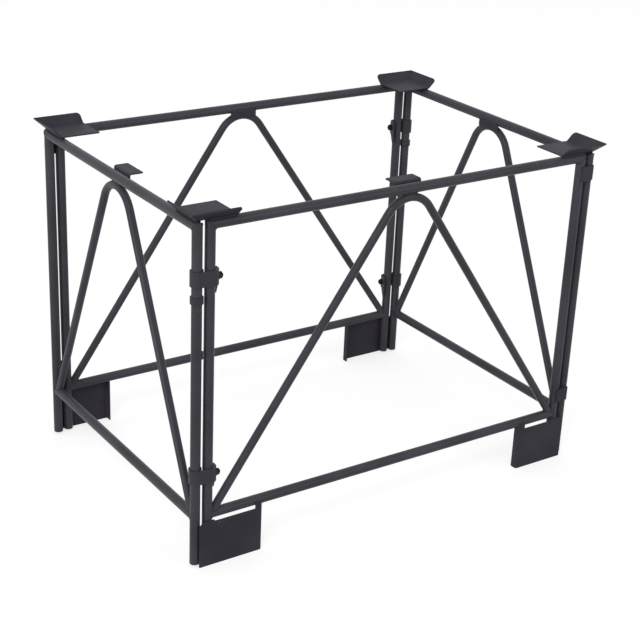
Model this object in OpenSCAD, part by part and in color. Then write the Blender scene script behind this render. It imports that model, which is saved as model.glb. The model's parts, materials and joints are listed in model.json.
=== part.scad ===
// Stacking collar for a 1200 x 800 mm wooden pallet, in two L-shaped tube halves.
// Millimetres, +Z up. X runs along the long sides, Y along the short sides and the
// centre of the collar is the origin in plan. The foot plates end at Z = 0.
// Each panel is a top rail mitred to its two uprights, a bottom rail between them
// and one bent brace. The halves are welded at the front right and back left
// corners. At the other two corners four swinging straps hold them together.

/* [Frame] */
// Distance between the tube axes of the two short panels
frame_l = 1253; // [1245:1:1330]
// Distance between the tube axes of the two long panels
frame_w = 853; // [848:1:930]
// Height of the top rail axis of the long panels
rail_z = 941; // [880:1:1100]
// How much lower the top rails of the short panels are
short_drop = 3; // [2:0.5:6]
// Height of the bottom rail axis
bottom_z = 146; // [140:1:160]
// Height of the open lower ends of the eight legs
leg_z = 7; // [4:1:15]
// From the short panel axis in to the long panel's upright
long_inset = 33.6; // [33:0.2:38]
// From the long panel axis in to the short panel's upright
short_inset = 3.7; // [3:0.1:5]

/* [Tube] */
// Outside diameter of rails and uprights
tube_d = 27; // [24:0.5:27.5]
// Wall of every tube
tube_wall = 2; // [1.5:0.5:3]
// Outside diameter of the braces
brace_d = 22; // [18:0.5:22]
// Centreline radius of the bend at the top of each brace
brace_r = 80; // [60:5:100]
// From the upright's axis in to where a long brace's axis meets its foot height
long_foot_in = 11; // [4:1:20]
// The same for a short brace
short_foot_in = 13.8; // [10:0.2:20]

/* [Stacking plates] */
// Length of each flat tread along X
tread_x = 114; // [100:1:120]
// Width of each flat tread along Y
tread_y = 106; // [95:1:112]
// Plate thickness of treads and lips
tread_t = 3.5; // [3:0.5:4.5]
// How far each lip leans out beyond its bend
lip_out = 26; // [20:1:28]
// How far each lip rises above the underside of the tread
lip_up = 25; // [20:1:28]
// Radius on the free upper corner of each lip
lip_corner_r = 12; // [8:1:15]
// Bend line of the side lip, beyond the short panel axis
side_overhang = 6; // [4:0.5:8]
// Bend line of the long lip, beyond the long panel axis
long_overhang = 3.2; // [3:0.1:4]

/* [Foot plates] */
// Thickness of the foot plates
foot_t = 4; // [3:0.5:5]
// Height of the slot between the free upper edge and the bottom rail
foot_slot_h = 4.5; // [3:0.5:15]
// From the outer edge to the outside of the inner bend at the clamped corners
foot_len_clamped = 189; // [175:1:200]
// The same at the welded corners
foot_len_welded = 170; // [160:1:185]
// Depth of the flange bent in below the rail
foot_flange = 22; // [14:1:26]
// Outside radius of the bend
foot_bend_r = 7; // [6:0.5:12]
// Width of the tab that rises to the rail at the bend
foot_tab_w = 21; // [16:1:30]

/* [Rail brackets and gussets] */
// Width of the shelf brackets and of the gussets
bracket_w = 86; // [60:2:100]
// How far a shelf bracket reaches in from the rail
bracket_reach = 40; // [25:1:60]
// Height of a bracket's upright leg, from the rail axis down
bracket_drop = 8; // [5:1:10]
// Thickness of brackets and gussets
bracket_t = 4; // [3:0.5:5]
// Outside radius of the bracket's bend
bracket_bend_r = 6; // [5.5:0.5:8]
// Underside of a bracket's shelf above the rail axis
shelf_up = 14; // [13.8:0.1:15]

/* [Corner ties] */
// Width of the plates that bridge the two uprights of a welded corner
tie_w = 44; // [38:1:48]
// Thickness of those plates
tie_t = 4; // [3:0.5:5]
// Height of those plates
tie_h = 43; // [30:1:50]
// From the long top rail's axis down to the lower edge of the upper plates
upper_tie_drop = 66; // [60:1:120]
// From the bottom rail's axis up to the lower edge of the lower plates
lower_tie_rise = 39; // [2:1:80]

/* [Clamp straps] */
// Thickness of the bent straps
strap_t = 4; // [3:0.5:5]
// Running gap between a strap and the tubes it wraps
strap_gap = 0.4; // [0.35:0.05:0.6]
// Height of the leaf that crosses the outer face of the corner
leaf_h = 40; // [34:1:46]
// How far the knuckle wraps around the short panel's upright, in degrees
knuckle_wrap = 270; // [240:5:280]
// Gap between the flank and the long panel's upright, which the screw bridges
flank_gap = 5.5; // [2:0.5:8]
// How far the flank reaches inwards beyond the centre of its upright
flank_reach = 17; // [13:1:20]
// From the centre of the leaf down to the tip of the flank
flank_down = 50; // [40:1:54]
// From the long top rail's axis down to the centre of the upper leaves
upper_strap_drop = 134; // [120:1:160]
// From the bottom rail's axis up to the centre of the lower leaves
lower_strap_rise = 120; // [110:1:160]
// Thread size of the clamp screws
screw_d = 10; // [8:1:12]
// Length of the screw standing out of its nut
screw_stub = 3; // [2:0.5:12]
// Across flats of the clamp nuts
nut_af = 17; // [15:0.5:19]
// Thickness of the clamp nuts
nut_t = 8; // [6:0.5:10]
// Outside diameter of the stop collars
collar_d = 34; // [32:0.5:36]
// Height of the stop collars
collar_h = 17; // [12:1:20]
// From the long top rail's axis down to the lower edge of the stop collars
collar_drop = 199; // [190:1:220]

/* [Hidden] */
$fn = 72;
tube_r = tube_d / 2;
brace_half = brace_d / 2;
panel_x = frame_l / 2;
panel_y = frame_w / 2;
short_rail_z = rail_z - short_drop;
// Upright positions along each panel
long_up_x = panel_x - long_inset;
short_up_y = panel_y - short_inset;
// How far the seats of plates are let into the tubes
seat = 0.3;
// Overlap used for clean cuts
eps = 1;
// Bend lines of the stacking plates and their underside
bend_x = panel_x + side_overhang;
bend_y = panel_y + long_overhang;
tread_z = rail_z + tube_r - seat;
lip_len = sqrt(lip_out * lip_out + lip_up * lip_up);
lip_angle = atan(lip_up / lip_out);
// Inner face of the plates fixed outside the long panels
outer_face = panel_y + tube_r - seat;
foot_x = panel_x - 3.6;
// Edges of a gusset below the axis of its rail
gusset_top = 6;
gusset_bottom = tube_r + brace_half + 2;
foot_h = bottom_z - tube_r - foot_slot_h;
foot_chamfer = 14;
foot_shoulder = 5;
shoulder_w = 43;
// Corner geometry shared by straps and ties: the line through both uprights
pair_gap = sqrt(long_inset * long_inset + short_inset * short_inset);
pair_angle = atan(short_inset / long_inset);
strap_in = tube_r + strap_gap;
strap_out = strap_in + strap_t;
flank_x = pair_gap + tube_r + flank_gap;
flank_bend_x = flank_x - strap_in;
flank_tip = 5;
upper_strap_z = rail_z - upper_strap_drop;
lower_strap_z = bottom_z + lower_strap_rise;
upper_tie_z = rail_z - upper_tie_drop;
lower_tie_z = bottom_z + lower_tie_rise;
// Where the screws end, just short of the upright that they press on
screw_tip = pair_gap + tube_r + 0.3;
nut_x = flank_x + strap_t;

// Panel shapes, drawn in the XZ plane with the panel's middle at X = 0

module tube(len, d) {
  linear_extrude(len)
    difference() {
      circle(d = d);
      circle(d = d - 2 * tube_wall);
    }
}

module bar_x(half, z, d) {
  translate([-half, 0, z])
    rotate([0, 90, 0])
      cylinder(h = 2 * half, d = d);
}

// Half space that starts at the mitre plane of a corner, on the rail's side of it
// for side = 1 and on the upright's side for side = -1
module mitre_block(half, top, side) {
  size = 2 * tube_d;
  translate([half, 0, top])
    rotate([0, side * 90 - 135, 0])
      translate([-size, -size, 0])
        cube([2 * size, 2 * size, size]);
}

module bend(r, angle, d) {
  rotate([90, 0, 0])
    rotate_extrude(angle = angle)
      translate([r, 0])
        difference() {
          circle(d = d);
          circle(d = d - 2 * tube_wall);
        }
}

module panel_upright(half, top) {
  difference() {
    translate([half, 0, leg_z])
      tube(top + tube_r - leg_z, tube_d);
    mitre_block(half, top, 1);
  }
}

module panel_top(half, top) {
  difference() {
    translate([-half - tube_r, 0, top])
      rotate([0, 90, 0])
        tube(2 * (half + tube_r), tube_d);
    for (end = [0, 1])
      mirror([end, 0, 0])
        mitre_block(half, top, -1);
  }
}

module panel_post_cut(half) {
  for (side = [-1, 1])
    translate([side * half, 0, 0])
      cylinder(h = rail_z, d = tube_d);
}

module panel_bottom(half) {
  difference() {
    translate([-half, 0, bottom_z])
      rotate([0, 90, 0])
        tube(2 * half, tube_d);
    panel_post_cut(half);
  }
}

// One leg and its half of the bend are drawn in a tilted frame, cut off at the
// middle and mirrored. The feet are cut to fit the tubes they stand against.
module panel_brace(half, top, foot_in) {
  foot = half - foot_in;
  crown_z = top - tube_r - brace_half - brace_r;
  rise = crown_z - bottom_z;
  reach = sqrt(foot * foot + rise * rise);
  lean = atan(foot / rise) - asin(brace_r / reach);
  leg = sqrt(reach * reach - brace_r * brace_r);
  difference() {
    for (side = [0, 1])
      mirror([side, 0, 0])
        intersection() {
          translate([0, 0, crown_z])
            rotate([0, -lean, 0])
              union() {
                bend(brace_r, 90 - lean + eps, brace_d);
                translate([brace_r, 0, -leg])
                  tube(leg, brace_d);
              }
          translate([0, -brace_d, 0])
            cube([half, 2 * brace_d, top]);
        }
    panel_post_cut(half);
    bar_x(half, bottom_z, tube_d);
  }
}

// A flat gusset on the inner side of the rail, let into it and resting against
// the crown of the brace
module panel_gusset(top) {
  difference() {
    translate([-bracket_w / 2, brace_half, top - gusset_bottom])
      cube([bracket_w, bracket_t, gusset_bottom - gusset_top]);
    bar_x(bracket_w, top, tube_d);
  }
}

// An angle bracket on the inner side of a rail with its shelf reaching inwards
module panel_bracket(top) {
  z0 = top - bracket_drop;
  z1 = top + shelf_up + bracket_t;
  inner = tube_r - seat;
  difference() {
    rotate([90, 0, 90])
      translate([0, 0, -bracket_w / 2])
        linear_extrude(bracket_w)
          difference() {
            union() {
              translate([inner, z0])
                square([bracket_t, z1 - z0 - bracket_bend_r]);
              translate([inner + bracket_bend_r, z1 - bracket_t])
                square([bracket_reach - bracket_bend_r, bracket_t]);
              translate([inner + bracket_bend_r, z1 - bracket_bend_r])
                intersection() {
                  difference() {
                    circle(bracket_bend_r);
                    circle(bracket_bend_r - bracket_t);
                  }
                  translate([-bracket_bend_r, 0])
                    square(bracket_bend_r);
                }
            }
          }
    bar_x(bracket_w, top, tube_d);
  }
}

// Placement of the four panels; inward is +Y in each panel's own frame
module at_front() { translate([0, -panel_y, 0]) children(); }
module at_back() { rotate([0, 0, 180]) at_front() children(); }
module at_right() { rotate([0, 0, 90]) translate([0, -panel_x, 0]) children(); }
module at_left() { rotate([0, 0, 180]) at_right() children(); }

module long_upright() { panel_upright(long_up_x, rail_z); }
module short_upright() { panel_upright(short_up_y, short_rail_z); }
module mirrored() { mirror([1, 0, 0]) children(); }

// Top rails
module rail_front() { color("#46444c") at_front() panel_top(long_up_x, rail_z); }
module rail_back() { color("#46444c") at_back() panel_top(long_up_x, rail_z); }
module rail_left() { color("#46444c") at_left() panel_top(short_up_y, short_rail_z); }
module rail_right() { color("#46444c") at_right() panel_top(short_up_y, short_rail_z); }

// Uprights, each with the mitred end that meets its top rail
module upright_front_l() { color("#4a4850") at_front() mirrored() long_upright(); }
module upright_front_r() { color("#4a4850") at_front() long_upright(); }
module upright_back_l() { color("#4a4850") at_back() long_upright(); }
module upright_back_r() { color("#4a4850") at_back() mirrored() long_upright(); }
module upright_left_f() { color("#4a4850") at_left() short_upright(); }
module upright_left_b() { color("#4a4850") at_left() mirrored() short_upright(); }
module upright_right_f() { color("#4a4850") at_right() mirrored() short_upright(); }
module upright_right_b() { color("#4a4850") at_right() short_upright(); }

// Bottom rails
module bottom_front() { color("#46444c") at_front() panel_bottom(long_up_x); }
module bottom_back() { color("#46444c") at_back() panel_bottom(long_up_x); }
module bottom_left() { color("#46444c") at_left() panel_bottom(short_up_y); }
module bottom_right() { color("#46444c") at_right() panel_bottom(short_up_y); }

// Braces
module long_brace() { color("#504e57") panel_brace(long_up_x, rail_z, long_foot_in); }
module short_brace() { color("#504e57") panel_brace(short_up_y, short_rail_z, short_foot_in); }
module brace_front() { at_front() long_brace(); }
module brace_back() { at_back() long_brace(); }
module brace_left() { at_left() short_brace(); }
module brace_right() { at_right() short_brace(); }

// Shelf brackets on the front and left rails, gussets on the back and right ones
module bracket_front() { color("#55525c") at_front() panel_bracket(rail_z); }
module bracket_left() { color("#55525c") at_left() panel_bracket(short_rail_z); }
module gusset_back() { color("#55525c") at_back() panel_gusset(rail_z); }
module gusset_right() { color("#55525c") at_right() panel_gusset(short_rail_z); }

// One leaning lip, drawn along +X from its free end and mitred where it meets the
// lip of the other side
module lip(len) {
  difference() {
    rotate([lip_angle, 0, 0])
      linear_extrude(tread_t)
        difference() {
          square([len + lip_len, lip_len]);
          translate([0, lip_len - lip_corner_r])
            difference() {
              square(lip_corner_r);
              translate([lip_corner_r, 0])
                circle(lip_corner_r);
            }
        }
    translate([len, 0, 0])
      rotate([0, 0, 45])
        translate([-lip_len, -2 * lip_len, -eps])
          cube([3 * lip_len, 2 * lip_len, 2 * lip_len]);
  }
}

// The stacking plate of the back right corner
module stack_plate() {
  difference() {
    translate([bend_x, bend_y, tread_z])
      union() {
        translate([-tread_x, -tread_y, 0])
          cube([tread_x, tread_y, tread_t]);
        translate([-tread_x, 0, 0])
          lip(tread_x);
        mirror([1, -1, 0])
          translate([-tread_y, 0, 0])
            lip(tread_y);
      }
    translate([0, panel_y, 0])
      bar_x(long_up_x + tube_r, rail_z, tube_d);
  }
}

module stack_plate_br() { color("#5b5862") stack_plate(); }
module stack_plate_bl() { color("#5b5862") mirrored() stack_plate(); }
module stack_plate_fr() { color("#5b5862") mirror([0, 1, 0]) stack_plate(); }
module stack_plate_fl() { color("#5b5862") rotate([0, 0, 180]) stack_plate(); }

// A foot plate as it stands at the back right corner: a flat plate outside the legs,
// its inner end bent in below the bottom rail, with a tab that rises to the rail
module foot_plate(len) {
  inner_x = foot_x - len;
  outer_y = outer_face + foot_t;
  difference() {
    intersection() {
      linear_extrude(bottom_z)
        union() {
          translate([inner_x + foot_bend_r, outer_face])
            square([len - foot_bend_r, foot_t]);
          translate([inner_x, outer_y - foot_flange])
            square([foot_t, foot_flange - foot_bend_r]);
          translate([inner_x + foot_bend_r, outer_y - foot_bend_r])
            intersection() {
              difference() {
                circle(foot_bend_r);
                circle(foot_bend_r - foot_t);
              }
              translate([-foot_bend_r, 0])
                square(foot_bend_r);
            }
        }
      translate([0, outer_y + eps, 0])
        rotate([90, 0, 0])
          linear_extrude(foot_flange + 2 * eps)
            polygon([
              [inner_x, 0],
              [foot_x, 0],
              [foot_x, foot_h - foot_shoulder],
              [foot_x - foot_chamfer, foot_h + foot_shoulder],
              [foot_x - shoulder_w, foot_h + foot_shoulder],
              [foot_x - shoulder_w - foot_shoulder, foot_h],
              [inner_x + foot_tab_w, foot_h],
              [inner_x + foot_tab_w, bottom_z],
              [inner_x, bottom_z]
            ]);
    }
    translate([0, panel_y, 0])
      bar_x(long_up_x, bottom_z, tube_d);
    translate([long_up_x, panel_y, 0])
      cylinder(h = rail_z, d = tube_d);
  }
}

module clamped_foot() { color("#4d4a53") foot_plate(foot_len_clamped); }
module welded_foot() { color("#4d4a53") foot_plate(foot_len_welded); }
module foot_plate_br() { clamped_foot(); }
module foot_plate_bl() { mirrored() welded_foot(); }
module foot_plate_fr() { mirror([0, 1, 0]) welded_foot(); }
module foot_plate_fl() { rotate([0, 0, 180]) clamped_foot(); }

// Corner frame: origin on the short panel's upright at the front left corner,
// +X towards the long panel's upright and -Y to the outside of the collar
module at_pair_fl() {
  translate([-panel_x, -short_up_y, 0])
    rotate([0, 0, -pair_angle])
      children();
}
module at_pair_br() { rotate([0, 0, 180]) at_pair_fl() children(); }
module at_pair_fr() { mirrored() at_pair_fl() children(); }
module at_pair_bl() { rotate([0, 0, 180]) at_pair_fr() children(); }

// A flat plate let a little into the outside of both uprights
module tie(z) {
  color("#504e57")
    difference() {
      translate([(pair_gap - tie_w) / 2, -tube_r - tie_t + seat, z])
        cube([tie_w, tie_t, tie_h]);
      for (x = [0, pair_gap])
        translate([x, 0, z - eps])
          cylinder(h = tie_h + 2 * eps, d = tube_d);
    }
}

module tie_fr_upper() { at_pair_fr() tie(upper_tie_z); }
module tie_fr_lower() { at_pair_fr() tie(lower_tie_z); }
module tie_bl_upper() { at_pair_bl() tie(upper_tie_z); }
module tie_bl_lower() { at_pair_bl() tie(lower_tie_z); }

// Stop collar on the short panel's upright below an upper strap
module collar() {
  color("#3f3d45")
    translate([0, 0, rail_z - collar_drop])
      difference() {
        cylinder(h = collar_h, d = collar_d);
        translate([0, 0, -eps])
          cylinder(h = collar_h + 2 * eps, d = tube_d);
      }
}

module collar_fl() { at_pair_fl() collar(); }
module collar_br() { at_pair_br() collar(); }

// Strip of the strap bent around the Z axis through the given angle
module strap_bend(angle) {
  rotate_extrude(angle = angle)
    translate([strap_in, -leaf_h / 2])
      square([strap_t, leaf_h]);
}

// The bent strap: a knuckle around the short panel's upright, a leaf across the
// outside of both uprights, a quarter bend past the other one and a flank beside
// it that runs down to a narrow tip
module strap(z) {
  color("#3f3d45")
    translate([0, 0, z])
      difference() {
        union() {
          mirror([0, 1, 0])
            rotate([0, 0, 90])
              strap_bend(knuckle_wrap);
          translate([0, -strap_out, -leaf_h / 2])
            cube([flank_bend_x, strap_t, leaf_h]);
          translate([flank_bend_x, 0, 0])
            rotate([0, 0, -90])
              strap_bend(90);
          translate([flank_x, 0, 0])
            rotate([90, 0, 90])
              linear_extrude(strap_t)
                polygon([
                  [0, -leaf_h / 2],
                  [0, leaf_h / 2],
                  [flank_reach - flank_tip, leaf_h / 2],
                  [flank_reach, leaf_h / 2 - flank_tip],
                  [flank_reach, -flank_down],
                  [flank_reach - flank_tip, -flank_down]
                ]);
        }
        translate([flank_x - eps, 0, 0])
          rotate([0, 90, 0])
            cylinder(h = strap_t + 2 * eps, d = screw_d);
      }
}

module strap_fl_upper() { at_pair_fl() strap(upper_strap_z); }
module strap_fl_lower() { at_pair_fl() strap(lower_strap_z); }
module strap_br_upper() { at_pair_br() strap(upper_strap_z); }
module strap_br_lower() { at_pair_br() strap(lower_strap_z); }

// Hexagon nut fixed to the outside of the flank
module nut(z) {
  color("#2f2e34")
    translate([nut_x, 0, z])
      rotate([0, 90, 0])
        difference() {
          cylinder(h = nut_t, d = nut_af / cos(30), $fn = 6);
          translate([0, 0, -eps])
            cylinder(h = nut_t + 2 * eps, d = screw_d);
        }
}

module nut_fl_upper() { at_pair_fl() nut(upper_strap_z); }
module nut_fl_lower() { at_pair_fl() nut(lower_strap_z); }
module nut_br_upper() { at_pair_br() nut(upper_strap_z); }
module nut_br_lower() { at_pair_br() nut(lower_strap_z); }

// Screw through flank and nut that presses on the long panel's upright
module screw(z) {
  color("#2f2e34")
    translate([screw_tip, 0, z])
      rotate([0, 90, 0])
        cylinder(h = nut_x + nut_t + screw_stub - screw_tip, d = screw_d);
}

module screw_fl_upper() { at_pair_fl() screw(upper_strap_z); }
module screw_fl_lower() { at_pair_fl() screw(lower_strap_z); }
module screw_br_upper() { at_pair_br() screw(upper_strap_z); }
module screw_br_lower() { at_pair_br() screw(lower_strap_z); }

rail_front();
rail_back();
rail_left();
rail_right();
upright_front_l();
upright_front_r();
upright_back_l();
upright_back_r();
upright_left_f();
upright_left_b();
upright_right_f();
upright_right_b();
bottom_front();
bottom_back();
bottom_left();
bottom_right();
brace_front();
brace_back();
brace_left();
brace_right();
bracket_front();
bracket_left();
gusset_back();
gusset_right();
stack_plate_fl();
stack_plate_fr();
stack_plate_bl();
stack_plate_br();
foot_plate_fl();
foot_plate_fr();
foot_plate_bl();
foot_plate_br();
tie_fr_upper();
tie_fr_lower();
tie_bl_upper();
tie_bl_lower();
collar_fl();
collar_br();
strap_fl_upper();
strap_fl_lower();
strap_br_upper();
strap_br_lower();
nut_fl_upper();
nut_fl_lower();
nut_br_upper();
nut_br_lower();
screw_fl_upper();
screw_fl_lower();
screw_br_upper();
screw_br_lower();
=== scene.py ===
import json
import math

import bmesh
import bpy
from mathutils import Matrix, Vector, noise


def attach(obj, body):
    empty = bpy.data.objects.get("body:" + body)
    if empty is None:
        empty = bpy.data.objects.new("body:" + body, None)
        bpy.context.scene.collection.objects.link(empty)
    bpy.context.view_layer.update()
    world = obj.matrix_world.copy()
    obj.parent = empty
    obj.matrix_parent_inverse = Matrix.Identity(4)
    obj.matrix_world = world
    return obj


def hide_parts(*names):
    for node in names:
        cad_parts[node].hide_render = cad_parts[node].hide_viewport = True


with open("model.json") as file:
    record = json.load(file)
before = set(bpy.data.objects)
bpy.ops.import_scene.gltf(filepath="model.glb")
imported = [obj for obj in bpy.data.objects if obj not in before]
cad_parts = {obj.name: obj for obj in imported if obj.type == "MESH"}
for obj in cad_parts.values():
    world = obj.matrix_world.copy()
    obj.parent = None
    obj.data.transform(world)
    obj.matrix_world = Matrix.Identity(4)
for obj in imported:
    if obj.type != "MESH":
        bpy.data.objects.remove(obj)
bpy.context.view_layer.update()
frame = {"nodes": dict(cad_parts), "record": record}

bpy.context.scene.view_settings.view_transform = "Standard"

# One millimetre in metres
MM = 0.001


# Sizes of the collar

# In millimetres, as in the CAD source. X runs along the long panels, Y along the short
# ones, and the middle of the collar is the origin in plan.

# Tubes and panels
TUBE_R = 13.5  # rails and uprights
BRACE_R = 11
PANEL_X = 626.5  # from the middle out to the axis of a short panel
PANEL_Y = 426.5  # from the middle out to the axis of a long panel
LONG_INSET = 33.6  # from a short panel's axis in to a long panel's upright
SHORT_INSET = 3.7  # from a long panel's axis in to a short panel's upright
LONG_UP_X = PANEL_X - LONG_INSET
SHORT_UP_Y = PANEL_Y - SHORT_INSET
RAIL_Z = 941  # axis of the long top rails
SHORT_RAIL_Z = 938  # axis of the short top rails
BOTTOM_Z = 146  # axis of the bottom rails
BRACE_BEND = 80  # centreline radius of the bend at the top of a brace
LONG_FOOT_IN = 11  # from an upright's axis in to where the brace's axis meets its foot height
SHORT_FOOT_IN = 13.8

# Plates
PLATE_IN = TUBE_R - 0.3  # inner face of a plate that is let into its tubes, off their axis
TREAD_X = 114
TREAD_Y = 106
BEND_X = PANEL_X + 6  # bend line of a stacking plate's side lip
BEND_Y = PANEL_Y + 3.2  # bend line of its long lip
FOOT_X = PANEL_X - 3.6  # outer edge of a foot plate
FOOT_H = 128  # its free upper edge
FOOT_LEN = {"fl": 189, "fr": 170, "bl": 170, "br": 189}
FOOT_TAB = 21  # width of the tab that rises to the bottom rail
BRACKET_W = 86  # shelf brackets and gussets
BRACKET_DROP = 8  # from a rail's axis down to a bracket's lower edge
GUSSET_TOP = 6  # from a rail's axis down to a gusset's upper edge
GUSSET_BOTTOM = TUBE_R + BRACE_R + 2
TIE_W = 44
TIE_H = 43
TIE_ZS = (RAIL_Z - 66, BOTTOM_Z + 39)  # lower edges of the tie plates

# Clamps, whose X runs from the short panel's upright to the long panel's
PAIR_GAP = math.hypot(LONG_INSET, SHORT_INSET)  # between the axes of the two uprights
PAIR_ANGLE = math.atan2(SHORT_INSET, LONG_INSET)
COLLAR_Z = RAIL_Z - 199  # lower edge of a stop collar
STRAP_ZS = {"upper": RAIL_Z - 134, "lower": BOTTOM_Z + 120}  # axes of the clamp screws
STRAP_T = 4
STRAP_GAP = 0.4  # between a strap and the tubes that it wraps
FLANK_GAP = 5.5  # between a strap's flank and the upright that its screw bites on
FLANK_OUT = TUBE_R + STRAP_GAP + STRAP_T  # outer radius of the flank's bend
NUT_X = PAIR_GAP + TUBE_R + FLANK_GAP + STRAP_T
NUT_AF = 17  # across flats
NUT_T = 8
SCREW_R = 5
SCREW_TIP = PAIR_GAP + TUBE_R + 0.3
SCREW_END = NUT_X + NUT_T + 3
SOCKET_AF = 5
SOCKET_DEEP = 4
THREAD_PITCH = 1.5
THREAD_DEEP = 0.9


# Materials

# Colour sockets of the Mix node, whose names it uses more than once
MIX_A, MIX_B, MIX_OUT = 6, 7, 2


def lin(hex_colour):
    """A linear colour from an sRGB hex string."""
    parts = [int(hex_colour[i:i + 2], 16) / 255 for i in (1, 3, 5)]
    return [c / 12.92 if c <= 0.04045 else ((c + 0.055) / 1.055) ** 2.4 for c in parts] + [1]


def scale_for(size_mm):
    """Scale of a noise texture whose patches are about this wide."""
    return 1000 / size_mm


def plug(tree, node, inputs):
    """Sets each named or numbered input of a node, or links it to an output."""
    for key, value in inputs.items():
        if isinstance(value, bpy.types.NodeSocket):
            tree.links.new(value, node.inputs[key])
        else:
            node.inputs[key].default_value = value


def add(tree, kind, settings, inputs, output=0):
    """Adds a node with its settings and links, and gives one of its outputs."""
    node = tree.nodes.new("ShaderNode" + kind)
    for name, value in settings.items():
        setattr(node, name, value)
    plug(tree, node, inputs)
    return node.outputs[output]


def new_material(name):
    mat = bpy.data.materials.new(name)
    mat.use_nodes = True
    return mat


def powder_coat(name, low, high, worn, rough, shine, round_mm=0.7):
    """Polyester powder coat, sprayed on steel and baked. The eye sees a dark satin skin
    with a fine orange peel and a faint cloudy tone, dull where boxes and forks have
    scuffed it, and rubbed lighter along the edges."""
    mat = new_material(name)
    tree = mat.node_tree
    place = add(tree, "TexCoord", {}, {}, "Object")

    clouds = add(tree, "TexNoise", {}, {"Vector": place, "Scale": scale_for(160), "Detail": 3})
    cloudy = add(tree, "MapRange", {}, {"Value": clouds, "From Min": 0.35, "From Max": 0.65})
    tone = add(tree, "Mix", {"data_type": "RGBA"},
               {"Factor": cloudy, MIX_A: lin(low), MIX_B: lin(high)}, MIX_OUT)

    scrapes = add(tree, "TexNoise", {}, {"Vector": place, "Scale": scale_for(34), "Detail": 6,
                                         "Roughness": 0.75})
    scuffed = add(tree, "MapRange", {}, {"Value": scrapes, "From Min": 0.6, "From Max": 0.74,
                                         "To Max": 0.3})
    tone = add(tree, "Mix", {"data_type": "RGBA"},
               {"Factor": scuffed, MIX_A: tone, MIX_B: lin(worn)}, MIX_OUT)

    # An edge is where the rounded normal leaves the plain one
    rounded = add(tree, "Bevel", {"samples": 4}, {"Radius": round_mm * MM})
    plain = add(tree, "NewGeometry", {}, {}, "Normal")
    same = add(tree, "VectorMath", {"operation": "DOT_PRODUCT"}, {0: rounded, 1: plain}, "Value")
    edge = add(tree, "MapRange", {}, {"Value": same, "From Min": 0.995, "From Max": 0.93})
    patches = add(tree, "TexNoise", {}, {"Vector": place, "Scale": scale_for(11), "Detail": 4,
                                         "Roughness": 0.7})
    patchy = add(tree, "MapRange", {}, {"Value": patches, "From Min": 0.46, "From Max": 0.66,
                                        "To Max": 0.85})
    rubbed = add(tree, "Math", {"operation": "MULTIPLY"}, {0: edge, 1: patchy})
    colour = add(tree, "Mix", {"data_type": "RGBA"},
                 {"Factor": rubbed, MIX_A: tone, MIX_B: lin(worn)}, MIX_OUT)

    uneven = add(tree, "TexNoise", {}, {"Vector": place, "Scale": scale_for(22), "Detail": 4})
    satin = add(tree, "MapRange", {}, {"Value": uneven, "From Min": 0.3, "From Max": 0.7,
                                       "To Min": rough - 0.04, "To Max": rough + 0.05})
    dull = add(tree, "Math", {"operation": "MULTIPLY_ADD"}, {0: scuffed, 1: 0.5, 2: satin})

    # Real orange peel is about 1 mm wide; it is drawn at 1.8 mm so that it shows
    peel = add(tree, "TexNoise", {}, {"Vector": place, "Scale": scale_for(1.8), "Detail": 1})
    skin = add(tree, "Bump", {}, {"Height": peel, "Strength": 0.13, "Distance": 0.05 * MM,
                                  "Normal": rounded})

    plug(tree, tree.nodes["Principled BSDF"], {
        "Base Color": colour, "Roughness": dull, "Normal": skin,
        "IOR": 1.5, "Specular IOR Level": shine})
    return mat


def black_oxide(name, base, worn, rough):
    """Steel blackened in a hot bath and oiled. The eye sees a near black metal with soft
    highlights, grey where a key or a spanner has bitten."""
    mat = new_material(name)
    tree = mat.node_tree
    place = add(tree, "TexCoord", {}, {}, "Object")
    bites = add(tree, "TexNoise", {}, {"Vector": place, "Scale": scale_for(2.5), "Detail": 4,
                                       "Roughness": 0.7})
    bitten = add(tree, "MapRange", {}, {"Value": bites, "From Min": 0.62, "From Max": 0.74})
    colour = add(tree, "Mix", {"data_type": "RGBA"},
                 {"Factor": bitten, MIX_A: lin(base), MIX_B: lin(worn)}, MIX_OUT)
    oil = add(tree, "TexNoise", {}, {"Vector": place, "Scale": scale_for(4), "Detail": 3})
    oily = add(tree, "MapRange", {}, {"Value": oil, "From Min": 0.3, "From Max": 0.7,
                                      "To Min": rough - 0.07, "To Max": rough + 0.1})
    grain = add(tree, "TexNoise", {}, {"Vector": place, "Scale": scale_for(1.2)})
    rounded = add(tree, "Bevel", {"samples": 4}, {"Radius": 0.3 * MM})
    skin = add(tree, "Bump", {}, {"Height": grain, "Strength": 0.12, "Distance": 0.06 * MM,
                                  "Normal": rounded})
    plug(tree, tree.nodes["Principled BSDF"], {
        "Base Color": colour, "Metallic": 0.9, "Roughness": oily, "Normal": skin})
    return mat


# The tubes catch long soft streaks of light, the plates are duller, and the straps darker. Tubes
# and plates carry one paint: the tube colours are painted a shade lighter and the plate colours a
# shade darker, a painted highlight and painted shade that stand in for the tubes' gloss
MATERIALS = {
    "tube_coat": powder_coat("powder_coat_tube", "#3c3a41", "#47454d", "#6b6970",
                             rough=0.3, shine=0.14),
    "plate_coat": powder_coat("powder_coat_plate", "#39373e", "#44414a", "#6d6b72",
                              rough=0.48, shine=0.06),
    "strap_coat": powder_coat("powder_coat_strap", "#37353c", "#413f46", "#6b6970",
                              rough=0.36, shine=0.12),
    "screw_black": black_oxide("black_oxide_steel", "#1f1e21", "#6d6b6e", rough=0.45),
}
# The same coat over the welds, whose edges are finer
WELD = powder_coat("powder_coat_weld", "#36343b", "#3f3c43", "#5e5c63",
                   rough=0.32, shine=0.12, round_mm=0.2)

slot_of = {s["node"]: s["material_slot"] for s in frame["record"]["subparts"]}
for node, obj in frame["nodes"].items():
    obj.data.materials.clear()
    obj.data.materials.append(MATERIALS[slot_of[node]])


# Places

# Each function takes millimetres in the frame of a panel or a corner and gives metres in
# the frame of the collar, as the CAD source places the same parts. In a panel's frame X
# runs along it from its middle, and Y inwards from its axis.

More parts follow.
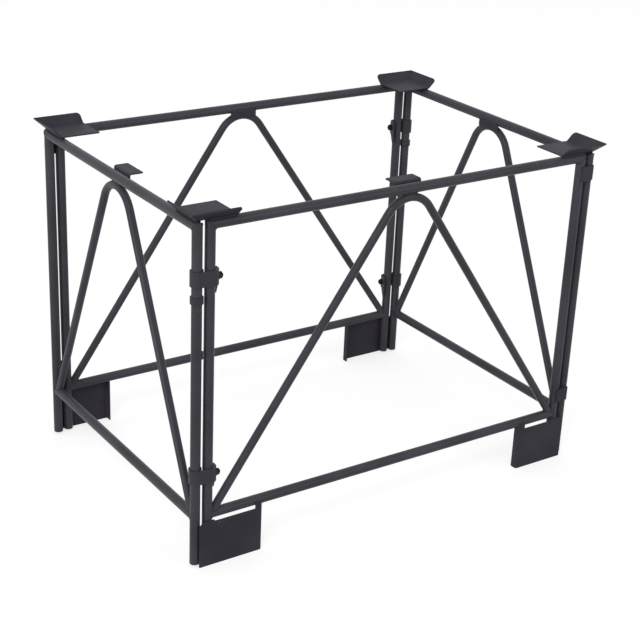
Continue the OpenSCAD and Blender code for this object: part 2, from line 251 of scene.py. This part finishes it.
def at_front(x, y, z):
    return Vector((x, y - PANEL_Y, z)) * MM


def at_back(x, y, z):
    return Vector((-x, PANEL_Y - y, z)) * MM


def at_right(x, y, z):
    return Vector((PANEL_X - y, x, z)) * MM


def at_left(x, y, z):
    return Vector((y - PANEL_X, -x, z)) * MM


# Each panel's place, half the distance between its uprights, its top rail and brace foot
PANELS = {
    "front": (at_front, LONG_UP_X, RAIL_Z, LONG_FOOT_IN),
    "back": (at_back, LONG_UP_X, RAIL_Z, LONG_FOOT_IN),
    "left": (at_left, SHORT_UP_Y, SHORT_RAIL_Z, SHORT_FOOT_IN),
    "right": (at_right, SHORT_UP_Y, SHORT_RAIL_Z, SHORT_FOOT_IN),
}


def at_corner(corner):
    """Plan coordinates of the back right quarter, turned to the named corner."""
    side = 1 if corner[1] == "r" else -1
    end = 1 if corner[0] == "b" else -1
    return lambda x, y, z: Vector((side * x, end * y, z)) * MM


def at_pair(corner):
    """Frame of a pair of uprights: its origin is on the short panel's upright, and +X runs
    to the long panel's."""
    side = 1 if corner[1] == "l" else -1
    end = 1 if corner[0] == "f" else -1
    cosine, sine = math.cos(PAIR_ANGLE), math.sin(PAIR_ANGLE)

    def place(x, y, z):
        along = x * cosine + y * sine - PANEL_X
        across = y * cosine - x * sine - SHORT_UP_Y
        return Vector((side * along, end * across, z)) * MM

    return place


# Pieces

# Faces that meet at more than this keep a sharp edge
SHARP = math.radians(40)


def make_piece(name, mat, body, slot_name, draw, *sizes, nodes=()):
    """Draws a piece with one of the functions below. It rides on a body, in place of any
    nodes that are named."""
    bm = bmesh.new()
    draw(bm, *sizes)
    bmesh.ops.recalc_face_normals(bm, faces=bm.faces)
    # A body with a bore can still be inside out, and then its volume is negative
    if bm.calc_volume(signed=True) < 0:
        bmesh.ops.reverse_faces(bm, faces=bm.faces)
    mesh = bpy.data.meshes.new(name)
    bm.to_mesh(mesh)
    bm.free()
    mesh.materials.append(mat)
    mesh.shade_smooth()
    mesh.set_sharp_from_angle(angle=SHARP)
    piece = bpy.data.objects.new(name, mesh)
    bpy.context.scene.collection.objects.link(piece)
    if nodes:
        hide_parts(*nodes)
    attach(piece, body)


def full_turn(count):
    """Evenly spaced angles round a circle."""
    return [2 * math.pi * k / count for k in range(count)]


def loop_of(verts):
    """The edges of a new circle, from its vertices."""
    return list(dict.fromkeys(edge for v in verts for edge in v.link_edges))


# Weld beads

# Lengths in millimetres
BEAD_STEP = 0.8  # between the rings of a bead
POOL_LEN = 2.8  # from one pool to the next
BEAD_SIDES = 8
RING_STEPS = 64  # points of a line round a tube

# Shares of a bead's radius: where a pool starts, what it gains by its end, how much noise
# moves it, where the ends of an open bead start and what they gain with each ring
POOL_START, POOL_GAIN = 0.94, 0.16
UNEVEN = 0.2
TAPER_START, TAPER_GAIN = 0.45, 0.3

# Waves of that noise in a metre
UNEVEN_WAVES = 90


def even_steps(points, step, closed):
    """The same line with its points a step apart."""
    line = points + points[:1] if closed else points
    runs = [(b - a).length for a, b in zip(line, line[1:])]
    count = max(3, round(sum(runs) / step))
    out, k, done = [], 0, 0.0
    for i in range(count if closed else count + 1):
        want = sum(runs) * i / count
        while k < len(runs) - 1 and done + runs[k] < want:
            done += runs[k]
            k += 1
        out.append(line[k].lerp(line[k + 1], min(1, (want - done) / max(runs[k], 1e-9))))
    return out


def bead(bm, points, radius, closed=False):
    """A weld bead along a line: rings bridged to a cord with the overlapping scales of its
    pools. The radius in millimetres is a number or a function of the share of the line."""
    line = even_steps(points, BEAD_STEP * MM, closed)
    last = len(line) - 1
    rings = []
    for i, p in enumerate(line):
        before = line[i - 1] if closed or i else p
        after = line[(i + 1) % len(line)] if closed or i < last else p
        r = radius(i / len(line)) if callable(radius) else radius
        pool = (i * BEAD_STEP / POOL_LEN) % 1
        r *= POOL_START + POOL_GAIN * pool + UNEVEN * noise.noise(p * UNEVEN_WAVES)
        if not closed:
            r *= min(1, TAPER_START + TAPER_GAIN * min(i, last - i))
        across = (after - before).to_track_quat("Z", "Y").to_matrix().to_4x4()
        ring = bmesh.ops.create_circle(bm, cap_ends=not closed and i in (0, last),
                                       segments=BEAD_SIDES, radius=r * MM,
                                       matrix=Matrix.Translation(p) @ across)
        rings.append(loop_of(ring["verts"]))
    following = rings[1:] + rings[:1] if closed else rings[1:]
    for ring, after in zip(rings, following):
        bmesh.ops.bridge_loops(bm, edges=ring + after)


def line_bead(bm, place, start, end, radius):
    """A straight bead between two points in the frame of a panel or a corner."""
    bead(bm, [place(*start), place(*end)], radius)


def mitre_radius(share):
    """Thin round the outside of a panel's corner and thick in its inner angle."""
    return 1.1 + 1.6 * max(0, -math.sin(2 * math.pi * share)) ** 3


def cope_radius(share):
    """Thin beside a bottom rail's end and thick above and below it."""
    return 0.9 + 1.1 * abs(math.sin(2 * math.pi * share))


def rail_welds(bm, place, half, top):
    """The mitred corners of a panel and the two ends of its bottom rail."""
    for side in (-1, 1):
        mitre = [place(side * (half + TUBE_R * math.sin(a)), TUBE_R * math.cos(a),
                       top + TUBE_R * math.sin(a)) for a in full_turn(RING_STEPS)]
        bead(bm, mitre, mitre_radius, closed=True)
        cope = [place(side * (half - TUBE_R * abs(math.sin(a))), TUBE_R * math.cos(a),
                      BOTTOM_Z + TUBE_R * math.sin(a)) for a in full_turn(RING_STEPS)]
        bead(bm, cope, cope_radius, closed=True)


def bend_centre(top):
    """Height of the centre of a brace's bend, whose crown touches the rail above it."""
    return top - TUBE_R - BRACE_R - BRACE_BEND


def brace_foot_welds(bm, place, half, top, foot_in):
    """Rings where the legs of a brace enter the corner of the upright and the bottom rail.
    Lines down the side of a leg are followed until they meet one of the two tubes."""
    search_up, search_down, search_step = 60, 20, 0.2
    radius = 1.7
    centre = bend_centre(top)
    foot = half - foot_in
    rise = centre - BOTTOM_Z
    reach = math.hypot(foot, rise)
    lean = math.atan2(foot, rise) - math.asin(BRACE_BEND / reach)
    leg = math.sqrt(reach * reach - BRACE_BEND * BRACE_BEND)
    cosine, sine = math.cos(lean), math.sin(lean)
    ring = []
    for a in full_turn(RING_STEPS):
        y = BRACE_R * math.sin(a)
        out = BRACE_BEND + BRACE_R * math.cos(a)
        down = leg - search_up
        while down < leg + search_down:
            x, z = out * cosine + down * sine, centre + out * sine - down * cosine
            if math.hypot(x - half, y) < TUBE_R or math.hypot(y, z - BOTTOM_Z) < TUBE_R:
                break
            down += search_step
        ring.append((x, y, z))
    for side in (-1, 1):
        bead(bm, [place(side * x, y, z) for x, y, z in ring], radius, closed=True)


def brace_crown_welds(bm, place, top):
    """Both sides of a brace's crown under the top rail, a little clear of both tubes."""
    clear, radius, points, step = 1.5, 2.8, 13, 3.6
    to_rail, to_brace = TUBE_R + clear, BRACE_R + clear
    for side in (-1, 1):
        row = []
        for k in range(points):
            x = (k - points // 2) * step
            gap = top - bend_centre(top) - math.sqrt(BRACE_BEND ** 2 - x * x)
            drop = (to_rail ** 2 - to_brace ** 2 + gap * gap) / (2 * gap)
            row.append(place(x, side * math.sqrt(to_rail ** 2 - drop ** 2), top - drop))
        bead(bm, row, radius)


def panel_welds(bm, place, half, top, foot_in):
    """All tube to tube welds of one panel."""
    rail_welds(bm, place, half, top)
    brace_foot_welds(bm, place, half, top, foot_in)
    brace_crown_welds(bm, place, top)


def bracket_welds(bm, place, top):
    """A shelf bracket, in the wedges above and below where it touches its rail."""
    y, radius = 12.6, 2.1
    end = BRACKET_W / 2 - 3
    for z in (top - BRACKET_DROP, top + BRACKET_DROP):
        line_bead(bm, place, (-end, y, z), (end, y, z), radius)


def gusset_welds(bm, place, top):
    """The upper edge of a gusset on its rail, and the middle of its lower edge on the
    brace's crown."""
    off = 0.6
    upper_z, lower_z = top - GUSSET_TOP + off, top - GUSSET_BOTTOM - off
    for end, y, z, radius in ((BRACKET_W / 2 - 3, 13.7, upper_z, 2), (13, 11.6, lower_z, 1.9)):
        line_bead(bm, place, (-end, y, z), (end, y, z), radius)


def tie_welds(bm, place, low_z):
    """Both upright edges of a tie plate."""
    y, off, short, radius = -13.7, 0.6, 2, 2
    for x in ((PAIR_GAP - TIE_W) / 2 - off, (PAIR_GAP + TIE_W) / 2 + off):
        line_bead(bm, place, (x, y, low_z + short), (x, y, low_z + TIE_H - short), radius)


def plate_welds(bm):
    """All shelf brackets, gussets and tie plates."""
    for name in ("front", "left"):
        place, _, top, _ = PANELS[name]
        bracket_welds(bm, place, top)
    for name in ("back", "right"):
        place, _, top, _ = PANELS[name]
        gusset_welds(bm, place, top)
    for corner in ("fr", "bl"):
        for low_z in TIE_ZS:
            tie_welds(bm, at_pair(corner), low_z)


def stack_welds(bm, corner):
    """The tread of a stacking plate along both sides of the rails under it. Each line runs
    from a little inside the tread's inner edge to a little past the upright."""
    place = at_corner(corner)
    short, past = 3, 8
    # The long rail's inner side and, with a thicker bead, its side under the lip
    start, end = BEND_X - TREAD_X + short, LONG_UP_X + past
    for off, up, radius in ((-5.4, 12.9, 2), (5.6, 13.7, 2.5)):
        y, z = PANEL_Y + off, RAIL_Z + up
        line_bead(bm, place, (start, y, z), (end, y, z), radius)
    # Both sides of the short rail, which lies a little below the tread
    start, end = BEND_Y - TREAD_Y + short, SHORT_UP_Y + past
    off, up, radius = 4, 14.8, 2.3
    for x in (PANEL_X - off, PANEL_X + off):
        z = SHORT_RAIL_Z + up
        line_bead(bm, place, (x, start, z), (x, end, z), radius)


def foot_welds(bm, corner):
    """A foot plate along the leg of the long panel and the tab at its inner end."""
    place = at_corner(corner)
    low, high = 12, FOOT_H - 3
    beside, y, radius = 5.4, PANEL_Y + 12.9, 1.8
    for x in (LONG_UP_X - beside, LONG_UP_X + beside):
        line_bead(bm, place, (x, y, low), (x, y, high), radius)
    short, radius = 2, 1.9
    inner = FOOT_X - FOOT_LEN[corner]
    y, z = PANEL_Y + PLATE_IN + 0.8, BOTTOM_Z + 1
    line_bead(bm, place, (inner + short, y, z), (inner + FOOT_TAB - short, y, z), radius)


def collar_weld(bm, corner):
    """Ring under a stop collar."""
    place = at_pair(corner)
    steps, radius = 48, 1.6
    r, z = TUBE_R + 1, COLLAR_Z - 0.4
    ring = [place(r * math.cos(a), r * math.sin(a), z) for a in full_turn(steps)]
    bead(bm, ring, radius, closed=True)


# Nuts and screws

def hexagon(angle, flats):
    """Distance from the middle to the side of a hexagon with a corner at angle 0."""
    return flats / 2 / math.cos(angle % (math.pi / 3) - math.pi / 6)


def fix_order(bm):
    """Puts the faces in one order, because an extrusion makes them in an order that
    changes from run to run."""
    bm.verts.index_update()
    faces = sorted(bm.faces, key=lambda face: sorted(v.index for v in face.verts))
    for i, face in enumerate(faces):
        face.index = i
    bm.faces.sort()


def turned(bm, stations, segments, closed):
    """A body turned about Z in millimetres. Each station has a height and a radius, which
    is a number or a function of the angle. A closed body has a bore, others have ends."""
    verts = bmesh.ops.create_circle(bm, segments=segments, radius=1)["verts"]
    first = edges = loop_of(verts)
    for i, (height, radius) in enumerate(stations):
        if i:
            geom = bmesh.ops.extrude_edge_only(bm, edges=edges)["geom"]
            verts = [g for g in geom if isinstance(g, bmesh.types.BMVert)]
            edges = [g for g in geom if isinstance(g, bmesh.types.BMEdge)]
        for v in verts:
            a = math.atan2(v.co.y, v.co.x)
            r = radius(a) if callable(radius) else radius
            v.co = (r * math.cos(a), r * math.sin(a), height)
    if closed:
        bmesh.ops.remove_doubles(bm, verts=bm.verts, dist=0.001)
    else:
        for end in (first, edges):
            bmesh.ops.edgeloop_fill(bm, edges=end)
    fix_order(bm)


def to_screw_axis(bm, place, z):
    """Moves a turned body to the axis of a clamp screw, with its angle 0 at the top."""
    for v in bm.verts:
        v.co = place(v.co.z, v.co.y, z + v.co.x)


def nut(bm, place, z):
    """Hexagon nut, its outer corners turned off at 30 degrees, with a countersunk bore."""
    segments = 72
    face = NUT_X + NUT_T
    face_r = 0.95 * NUT_AF / 2
    sink, sink_deep = SCREW_R + 0.5, 0.7
    bore = SCREW_R - 0.3
    stations = [(NUT_X, lambda a: hexagon(a, NUT_AF))]
    for back in (1.1, 0.9, 0.7, 0.5, 0.3, 0.15, 0):
        cone = face_r + back * math.tan(math.pi / 3)
        stations.append((face - back, lambda a, cone=cone: min(hexagon(a, NUT_AF), cone)))
    stations += [(face, sink), (face - sink_deep, bore), (NUT_X, bore), stations[0]]
    turned(bm, stations, segments, closed=True)
    to_screw_axis(bm, place, z)


def thread(x, angle):
    """Radius of the clamp screw's thread, blunt at both ends."""
    blunt = SCREW_R - 1 + min(x - SCREW_TIP, SCREW_END - x)
    wave = abs(((x / THREAD_PITCH - angle / (2 * math.pi)) % 1) * 2 - 1)
    return min(blunt, SCREW_R - THREAD_DEEP * wave)


def screw(bm, place, z):
    """Threaded screw with turned ends and a hexagon socket, chamfered at its mouth."""
    rings, segments = 108, 36
    wider, chamfer = 0.15, 0.3
    stations = []
    for i in range(rings + 1):
        x = SCREW_TIP + (SCREW_END - SCREW_TIP) * i / rings
        stations.append((x, lambda a, x=x: thread(x, a)))
    for back, more in ((0, wider), (chamfer, 0), (SOCKET_DEEP, 0)):
        stations.append((SCREW_END - back, lambda a, more=more: hexagon(a, SOCKET_AF) + more))
    turned(bm, stations, segments, closed=False)
    to_screw_axis(bm, place, z)


def nut_weld(bm, place, z):
    """Bead round the foot of a nut, filling the wedge where the flank bends away."""
    steps, clear, radius = 72, 0.3, 1.3
    points, gaps = [], []
    for a in full_turn(steps):
        r = hexagon(a, NUT_AF) + clear
        y = r * math.sin(a)
        away = FLANK_OUT - math.sqrt(FLANK_OUT ** 2 - y * y) if y < 0 else 0
        gaps.append(away)
        points.append(place(NUT_X + clear - away / 2, y, z + r * math.cos(a)))
    bead(bm, points, lambda t: radius + gaps[min(steps - 1, int(t * steps))] / 2, closed=True)


# All pieces

for corner in ("fl", "fr", "bl", "br"):
    make_piece("weld_stack_plate_" + corner, WELD, "frame", "plate_coat", stack_welds, corner)
    make_piece("weld_foot_plate_" + corner, WELD, "frame", "plate_coat", foot_welds, corner)

for name, panel in PANELS.items():
    make_piece("weld_panel_" + name, WELD, "frame", "tube_coat", panel_welds, *panel)

make_piece("weld_plates", WELD, "frame", "plate_coat", plate_welds)

for corner in ("fl", "br"):
    place = at_pair(corner)
    make_piece("weld_collar_" + corner, WELD, "frame", "strap_coat", collar_weld, corner)
    for level, z in STRAP_ZS.items():
        key = corner + "_" + level
        body = "clamp_" + key
        for kind, draw in (("nut_", nut), ("screw_", screw)):
            make_piece(kind + key + "_cut", MATERIALS["screw_black"], body, "screw_black",
                       draw, place, z, nodes=(kind + key,))
        make_piece("weld_nut_" + key, WELD, body, "strap_coat", nut_weld, place, z)


# Camera

def look(eye, forward, right, up, focal_px, width_px=640, sensor_mm=36):
    """Camera with its place in metres, its three axes and its focal length in pixels."""
    cam = bpy.data.objects.new("camera", bpy.data.cameras.new("camera"))
    bpy.context.scene.collection.objects.link(cam)
    cam.data.sensor_width = sensor_mm
    cam.data.lens = focal_px / width_px * sensor_mm
    cam.data.clip_start, cam.data.clip_end = 0.1, 100
    axes = Matrix((right, up, tuple(-c for c in forward))).transposed()
    cam.matrix_world = Matrix.Translation(eye) @ axes.to_4x4()
    bpy.context.scene.camera = cam


# Solved from edges that the photograph shows
look(
    eye=(-2.2495, -3.3063, 2.1406),
    forward=(0.52055, 0.75556, -0.39768),
    right=(0.83267, -0.55227, 0.04067),
    up=(0.18890, 0.35231, 0.91662),
    focal_px=1482.8,
)


# Floor, backdrop and lights

FLOOR_HALF = 14  # metres
FLOOR_GREY = 0.4
# Light the floor adds for direct sight, so that it is white where no shadow falls
FLOOR_LIFT = 0.72
WORLD_LIGHT = 0.58
WHITE = (1, 1, 1, 1)


def direct_rays(tree, strength):
    """A strength for rays from the camera, a mirror or glass, and none for others."""
    rays = add(tree, "LightPath", {}, {}).node.outputs
    seen = rays["Is Camera Ray"]
    for name in ("Is Glossy Ray", "Is Transmission Ray"):
        seen = add(tree, "Math", {"operation": "ADD", "use_clamp": True}, {0: seen, 1: rays[name]})
    return add(tree, "Math", {"operation": "MULTIPLY"}, {0: seen, 1: strength})


def pale_floor():
    """Matt pale paint. The eye sees plain white with the collar's soft shadow on it."""
    mat = new_material("pale_floor")
    tree = mat.node_tree
    paint = tree.nodes["Principled BSDF"]
    plug(tree, paint, {"Base Color": (FLOOR_GREY, FLOOR_GREY, FLOOR_GREY, 1), "Roughness": 0.9,
                       "Specular IOR Level": 0.1})
    white = add(tree, "Emission", {}, {"Strength": direct_rays(tree, FLOOR_LIFT)})
    both = add(tree, "AddShader", {}, {0: paint.outputs[0], 1: white})
    plug(tree, tree.nodes["Material Output"], {"Surface": both})
    return mat


def make_floor():
    bm = bmesh.new()
    bmesh.ops.create_grid(bm, x_segments=1, y_segments=1, size=FLOOR_HALF)
    mesh = bpy.data.meshes.new("floor")
    bm.to_mesh(mesh)
    bm.free()
    mesh.materials.append(pale_floor())
    floor = bpy.data.objects.new("floor", mesh)
    bpy.context.scene.collection.objects.link(floor)


def make_world():
    """A grey world that lights the collar, and a white one for direct sight."""
    world = bpy.data.worlds.new("studio")
    bpy.context.scene.world = world
    world.use_nodes = True
    tree = world.node_tree
    light = tree.nodes["Background"]
    plug(tree, light, {"Color": WHITE, "Strength": WORLD_LIGHT})
    white = add(tree, "Background", {}, {"Color": WHITE, "Strength": 1})
    mixed = add(tree, "MixShader", {}, {0: direct_rays(tree, 1), 1: light.outputs[0], 2: white})
    plug(tree, tree.nodes["World Output"], {"Surface": mixed})


def area_light(name, place, target, size, watts):
    """Round lamp, placed in metres and turned to its target."""
    lamp = bpy.data.lights.new(name, "AREA")
    lamp.shape = "DISK"
    lamp.size, lamp.energy = size, watts
    obj = bpy.data.objects.new(name, lamp)
    obj.location = place
    obj.rotation_euler = (Vector(target) - Vector(place)).to_track_quat("-Z", "Y").to_euler()
    bpy.context.scene.collection.objects.link(obj)


make_floor()
make_world()
area_light("key", place=(-5.6, -4.8, 7.0), target=(0, 0, 0.4), size=3.0, watts=190)
area_light("fill", place=(4.5, -8.0, 4.0), target=(0, 0, 0.5), size=4.5, watts=90)
area_light("top", place=(0.8, 1.6, 5.6), target=(0, 0, 0.4), size=3.0, watts=16)
area_light("side", place=(-6.5, -1.4, 0.9), target=(0, 0, 0.5), size=1.6, watts=85)
